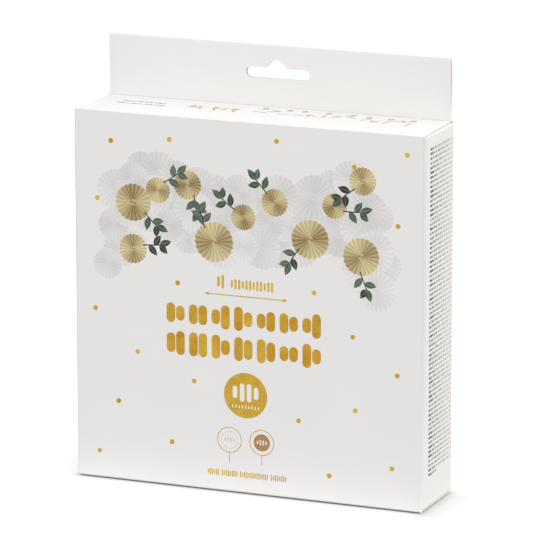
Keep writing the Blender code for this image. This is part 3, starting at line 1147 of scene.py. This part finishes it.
# Dust flaps
# Each side panel carries a flap at both ends, folded in under the lid. It is cut back on the side where the
# tuck goes in, tapers to its free end and has round corners. The top and bottom ones are turned end for end.
FLAP_LENGTH = 0.034
FLAP_SHOULDER = 0.003
FLAP_TUCK_SIDE = 0.0052
FLAP_PLAIN_SIDE = 0.0016
FLAP_TAPER = 0.004
FLAP_CORNER = 0.005

flap_root = DEEP - BEND - 2 * LAYER_PLAY
flap_hinge = ACROSS - BEND


def flap_face(end):
    """The height of a dust flap's printed face, which lies close to the lid; end is -1 at the foot."""
    return HEIGHT - BOARD - LAYER_PLAY if end > 0 else BOARD + LAYER_PLAY


def make_flap(name, side, end):
    """A dust flap from the end of its crease to its tip; side is -1 left, and end is -1 at the foot."""
    start = flap_hinge - CREASE_REACH
    tip = ACROSS - FLAP_LENGTH
    flap = start_sheet(name, (side * (start + tip) / 2, 0, flap_face(end)), (start - tip, 2 * flap_root))
    shoulder = ACROSS - FLAP_SHOULDER
    taper_start = shoulder - FLAP_SHOULDER
    for across in (shoulder, taper_start):
        cut(lambda at: True, (side * across, 0, 0), (1, 0, 0))
    tuck_edge = DEEP - FLAP_TUCK_SIDE
    plain_edge = DEEP - FLAP_PLAIN_SIDE
    moves = (
        (shoulder, 1, plain_edge - flap_root),
        (taper_start, -1, flap_root - tuck_edge),
        (taper_start, 1, plain_edge - flap_root),
        (tip, -1, flap_root - tuck_edge + FLAP_TAPER),
        (tip, 1, plain_edge - flap_root - FLAP_TAPER / 2),
    )
    for across, edge, move in moves:
        pick("VERT", lambda at: near(at.x, side * across) and at.y * edge * end > 0)
        bpy.ops.transform.translate(value=(0, end * move, 0))
    pick("VERT", lambda at: near(at.x, side * tip))
    bpy.ops.mesh.bevel(offset=FLAP_CORNER, segments=BEND_STEPS, affect="VERTICES")
    if end < 0:
        print_side_down()
    give_thickness(flap, coated_board)
    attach(flap, name.removesuffix("_board"))
    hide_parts(name.removesuffix("_board"))


for end, end_word in ((1, "top"), (-1, "bottom")):
    for side, side_word in ((-1, "left"), (1, "right")):
        make_flap(f"{end_word}_dust_flap_{side_word}_board", side, end)

# Creases of the lids and flaps
# The board is scored and bends here, so each crease is a narrow strip that bends with its joint. It starts
# flush with the panel and ends flush with the lid or flap.


def paint_scored_and_shaded(wire):
    """Coated board where the rule has pressed it: its coating crazed, and painted grey as the shade that lies
    along the fold.
    """
    craze = wire.place().noise(0.0005, 4)
    colour = craze.mix((0.67, 0.665, 0.66, 1), (0.75, 0.745, 0.74, 1))
    return {"Base Color": colour, "Roughness": craze * 0.1 + 0.55, "Normal": craze.bump(0.00003, 0.6)}


scored_board = new_finish("scored_board", {"Specular IOR Level": 0.35}, paint_scored_and_shaded)


def finish_crease(strip, outer=coated_board):
    give_thickness(strip, outer)
    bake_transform(strip)


strip = start_sheet(
    "top_lid_crease_board",
    (0, TOP_AXIS.y - CREASE_REACH / 2, HEIGHT),
    (2 * TAB_HALF, CREASE_REACH),
)
pick("EDGE", lambda at: near(at.y, TOP_AXIS.y))
fold(math.pi / 2, TOP_AXIS)
finish_crease(strip, scored_board)

front_turn = BEND - DEEP
strip = start_sheet(
    "bottom_lid_crease_board",
    (0, front_turn + CREASE_REACH / 2, 0),
    (2 * BOTTOM_HALF, CREASE_REACH),
)
pick("EDGE", lambda at: near(at.y, front_turn))
fold(-math.pi / 2, (0, front_turn, BEND))
print_side_down()
finish_crease(strip, scored_board)

for end, end_word in ((1, "top"), (-1, "bottom")):
    face = flap_face(end)
    for side, side_word in ((-1, "left"), (1, "right")):
        strip = start_sheet(
            f"{end_word}_flap_crease_{side_word}",
            (side * (flap_hinge - CREASE_REACH / 2), 0, face),
            (CREASE_REACH, 2 * flap_root),
        )
        pick("EDGE", lambda at: near(at.x, side * flap_hinge))
        fold(side * end * math.pi / 2, (side * flap_hinge, 0, face - end * BEND), axis=(0, 1, 0))
        if end < 0:
            print_side_down()
        finish_crease(strip)

# Floor and light
# A white table glows and is shaded where the carton keeps the light off; its glow is also dimmed as painted
# shadow, in a thin line along its foot and in a soft patch on its right. Only the part close to the carton
# lights it. The tent above is brightest overhead and on the right, and warmer there.
FLOOR_SIZE = 8
FLOOR_DROP = 0.0006
NEAR_FLOOR = 0.012
NEAR_SIDE = 0.003
SHEET_STEP = 0.00005
GLOW = 0.4
CONTACT_START = -0.0008
CONTACT_REACH = 0.004
SOFT_REACH = 0.022
SOFT_FRONT = 0.016
SOFT_START = 0.006
SOFT_DEPTH = 0.6
TENT_LEVEL = 1.09
TENT_TOP = 0.3
TENT_RIGHT = 0.48
TENT_BACK = -0.35
TENT_BELOW = 0.61
HORIZON_SOFTNESS = 0.05


def paint_table(wire):
    """White acrylic with a glow in it, dimmed as painted shadow along the carton's foot and in a soft patch
    on its right.
    """
    place = wire.place()
    x, y, _ = place.parts()
    clear = (x.math("ABSOLUTE") - ACROSS).math("MAXIMUM", y.math("ABSOLUTE") - DEEP)
    # Painted shadow: the glow fades to nothing at the carton's foot, and dims in a soft patch on its right.
    contact = clear.between(CONTACT_START, CONTACT_REACH).math("POWER", 0.5)
    out = x.between(ACROSS - SOFT_START, ACROSS) * (1 - x.between(ACROSS, ACROSS + SOFT_REACH))
    along = y.between(-DEEP - SOFT_FRONT, -DEEP) * (1 - y.between(DEEP - SOFT_START, DEEP + SOFT_START))
    soft = out * along
    glow = contact * (1 - soft * SOFT_DEPTH)
    acrylic = place.noise(0.4).mix((0.59, 0.59, 0.59, 1), (0.61, 0.61, 0.61, 1))
    return {"Base Color": acrylic, "Emission Color": glow.mix((0, 0, 0, 1), (GLOW, GLOW, GLOW, 1))}


light_table = new_finish("light_table", {"Roughness": 0.9, "Emission Strength": 1}, paint_table)
for name, size, drop in (
    ("floor", (FLOOR_SIZE, FLOOR_SIZE), FLOOR_DROP + SHEET_STEP),
    ("near_floor", (2 * (ACROSS + NEAR_SIDE), 2 * (DEEP + NEAR_FLOOR)), FLOOR_DROP),
):
    floor = lay_plane(name, (0, 0, -drop), size)
    floor.data.materials.append(light_table)
    floor.visible_diffuse = name == "near_floor"
    floor.visible_glossy = name == "near_floor"

world = bpy.data.worlds.new("light_tent")
bpy.context.scene.world = world
world.use_nodes = True
sky = Wire(world.node_tree).node("ShaderNodeTexCoord", {}, {})
east, north, zenith = sky.parts()
overhead = zenith.between(-HORIZON_SOFTNESS, HORIZON_SOFTNESS)
above = TENT_LEVEL + zenith * TENT_TOP + east * TENT_RIGHT + north.math("MAXIMUM", 0) * TENT_BACK
strength = above * overhead + (1 - overhead) * TENT_BELOW
background = world.node_tree.nodes["Background"]
world.node_tree.links.new(strength.socket, background.inputs["Strength"])
tint_of_light = east.between(0, 1).mix((1, 1, 1, 1), (1, 0.98, 0.945, 1))
world.node_tree.links.new(tint_of_light.socket, background.inputs["Color"])
bpy.context.scene.view_settings.view_transform = "Standard"
